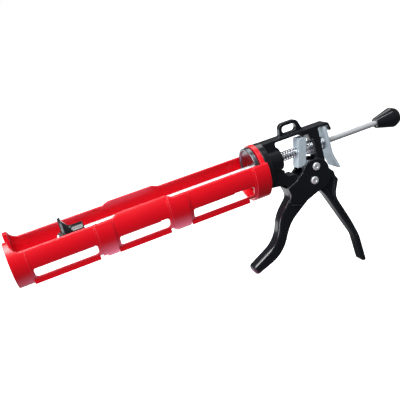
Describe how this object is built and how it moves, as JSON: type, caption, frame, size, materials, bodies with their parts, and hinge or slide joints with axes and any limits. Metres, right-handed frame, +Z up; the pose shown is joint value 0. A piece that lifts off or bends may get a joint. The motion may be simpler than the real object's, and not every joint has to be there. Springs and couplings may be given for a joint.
{
  "type": "caulking gun",
  "caption": "Cradle-type sealant gun: open half-shell cartridge cradle on a swivel, push rod with plunger and pull knob, cast body with squeeze trigger, drive plates and release plate.",
  "frame": {"origin": "on the push rod's axis, in the front face of the seat ring that the cartridge rests on", "axes": "+X back along the rod to the pull knob, +Z up from the grips to the hanging loop, +Y to the far side as seen with the nozzle end on the left"},
  "size_m": [0.4226, 0.0592, 0.1784],
  "materials": {
    "cradle_plastic": "glossy moulded red plastic",
    "body_paint": "gloss black paint on a die casting",
    "rod_steel": "bright drawn round bar",
    "disc_paint": "satin black pressing",
    "cup_plastic": "black moulding",
    "knob_plastic": "gloss black moulding",
    "seat_metal": "turned bright metal",
    "zinc_plate": "bright zinc plating",
    "pin_steel": "bright nickel plating",
    "bush_steel": "plain turned steel",
    "spring_wire": "bright hard-drawn wire"
  },
  "bodies": {
    "body": {"frame_casting": "body_paint", "seat_ring": "seat_metal", "rod_bush_front": "bush_steel", "rod_bush_rear": "bush_steel", "pivot_bush": "bush_steel", "pivot_rivet": "pin_steel", "drive_spring": "spring_wire", "rear_spring": "spring_wire", "brake_spring": "spring_wire"},
    "cradle": {"cradle_shell": "cradle_plastic"},
    "rod": {"rod": "rod_steel", "plunger_disc": "disc_paint", "plunger_cup": "cup_plastic", "plunger_washer": "disc_paint", "plunger_nut": "disc_paint", "knob": "knob_plastic", "knob_ferrule": "bush_steel"},
    "trigger": {"trigger": "body_paint", "pusher_pin": "pin_steel", "pusher_roller": "pin_steel"},
    "drive": {"drive_plate_front": "zinc_plate", "drive_plate_rear": "zinc_plate", "drive_shoe": "zinc_plate"},
    "release": {"release_plate": "zinc_plate"}
  },
  "joints": [
    {"name": "cradle_swivel", "type": "hinge", "parent": "body", "child": "cradle", "pos_m": [0.008, 0, 0], "axis": [1, 0, 0], "continuous": true},
    {"name": "rod_slide", "type": "slide", "parent": "body", "child": "rod", "axis": [1, 0, 0], "range_m": [-0.041, 0.169]},
    {"name": "trigger_pivot", "type": "hinge", "parent": "body", "child": "trigger", "pos_m": [0.0639, 0, -0.0324], "axis": [0, -1, 0], "range_deg": [0, 40.6], "stiffness_Nm_per_rad": 0.2, "springref_deg": -34.38},
    {"name": "drive_slide", "type": "slide", "parent": "body", "child": "drive", "axis": [-1, 0, 0], "range_m": [0, 0.0101], "stiffness_N_per_m": 200, "springref_m": -0.008, "deforming": ["drive_spring", "rear_spring"]},
    {"name": "release_hinge", "type": "hinge", "parent": "body", "child": "release", "pos_m": [0.0878, 0, 0.0173], "axis": [0, 1, 0], "range_deg": [0, 6], "stiffness_Nm_per_rad": 0.3, "springref_deg": -11.46, "deforming": ["brake_spring"]}
  ],
  "couplings": [
    {"joint": "drive_slide", "follows": "trigger_pivot", "m_per_rad": 0.0141}
  ]
}
